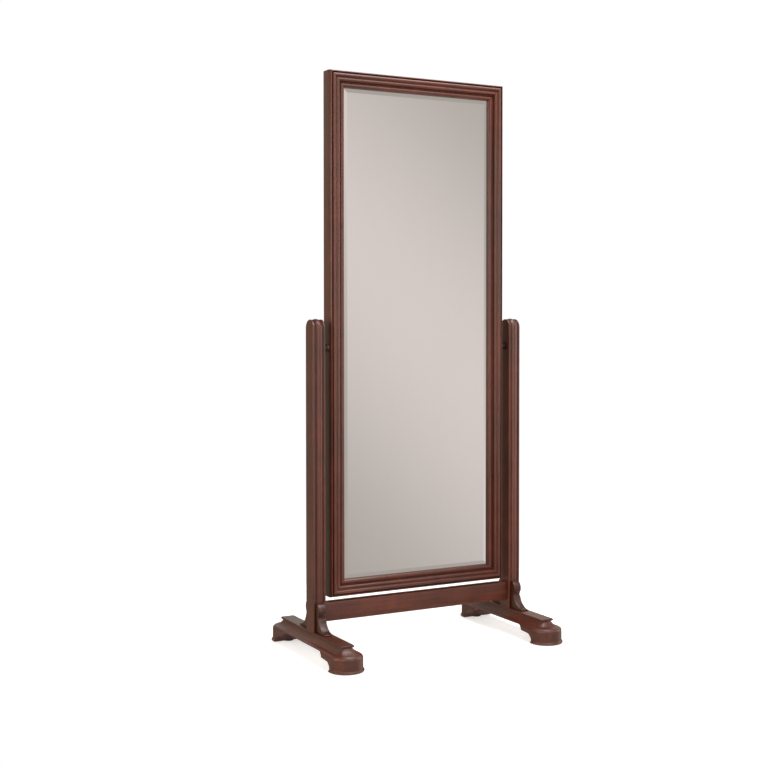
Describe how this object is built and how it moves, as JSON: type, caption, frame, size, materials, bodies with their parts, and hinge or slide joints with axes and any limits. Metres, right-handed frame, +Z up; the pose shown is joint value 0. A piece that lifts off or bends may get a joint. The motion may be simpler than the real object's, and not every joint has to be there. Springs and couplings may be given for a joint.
{
  "type": "cheval floor mirror",
  "caption": "Full-length framed mirror that tilts between two reeded posts on trestle feet, joined by a low stretcher.",
  "frame": {"origin": "on the floor, at the middle of the footprint", "axes": "+Z up, +X to the viewer's right in front of the mirror, +Y from the front to the back"},
  "size_m": [0.75, 0.4898, 1.65],
  "materials": {
    "stand_wood": "dark mahogany stain under satin lacquer",
    "frame_wood": "dark mahogany stain under satin lacquer",
    "dowel_wood": "raw beech",
    "raw_strip": "raw softwood, lightly stained",
    "back_board": "brown hardboard, smooth face out",
    "mirror": "silvered float glass with a narrow polished bevel",
    "zinc_steel": "zinc plated",
    "brass": "turned, unpolished",
    "fibre": "vulcanised fibre",
    "glide_plastic": "moulded, matte"
  },
  "bodies": {
    "stand": {"foot_left": "stand_wood", "foot_right": "stand_wood", "post_left": "stand_wood", "post_right": "stand_wood", "bracket_front_left": "stand_wood", "bracket_rear_left": "stand_wood", "bracket_front_right": "stand_wood", "bracket_rear_right": "stand_wood", "stretcher": "stand_wood", "stretcher_dowels": "dowel_wood", "bracket_dowels": "dowel_wood", "post_dowels": "dowel_wood", "post_bolts": "zinc_steel", "post_bolt_washers": "zinc_steel", "post_bolt_inserts": "brass", "foot_glides": "glide_plastic", "pivot_inserts": "brass", "pivot_pin_left": "zinc_steel", "pivot_pin_right": "zinc_steel", "pivot_flat_washers": "zinc_steel", "wave_washers": "zinc_steel", "friction_washers": "fibre"},
    "mirror": {"frame_top_rail": "frame_wood", "frame_bottom_rail": "frame_wood", "frame_left_stile": "frame_wood", "frame_right_stile": "frame_wood", "corner_dowels": "dowel_wood", "mirror_glass": "mirror", "retainer_top": "raw_strip", "retainer_bottom": "raw_strip", "retainer_left": "raw_strip", "retainer_right": "raw_strip", "retainer_brads": "zinc_steel", "back_panel": "back_board", "back_panel_screws": "zinc_steel", "pivot_bush_left": "brass", "pivot_bush_right": "brass"}
  },
  "joints": [
    {"name": "mirror_tilt", "type": "hinge", "parent": "stand", "child": "mirror", "pos_m": [0, 0, 0.868], "axis": [1, 0, 0], "range_deg": [-60, 60]}
  ]
}
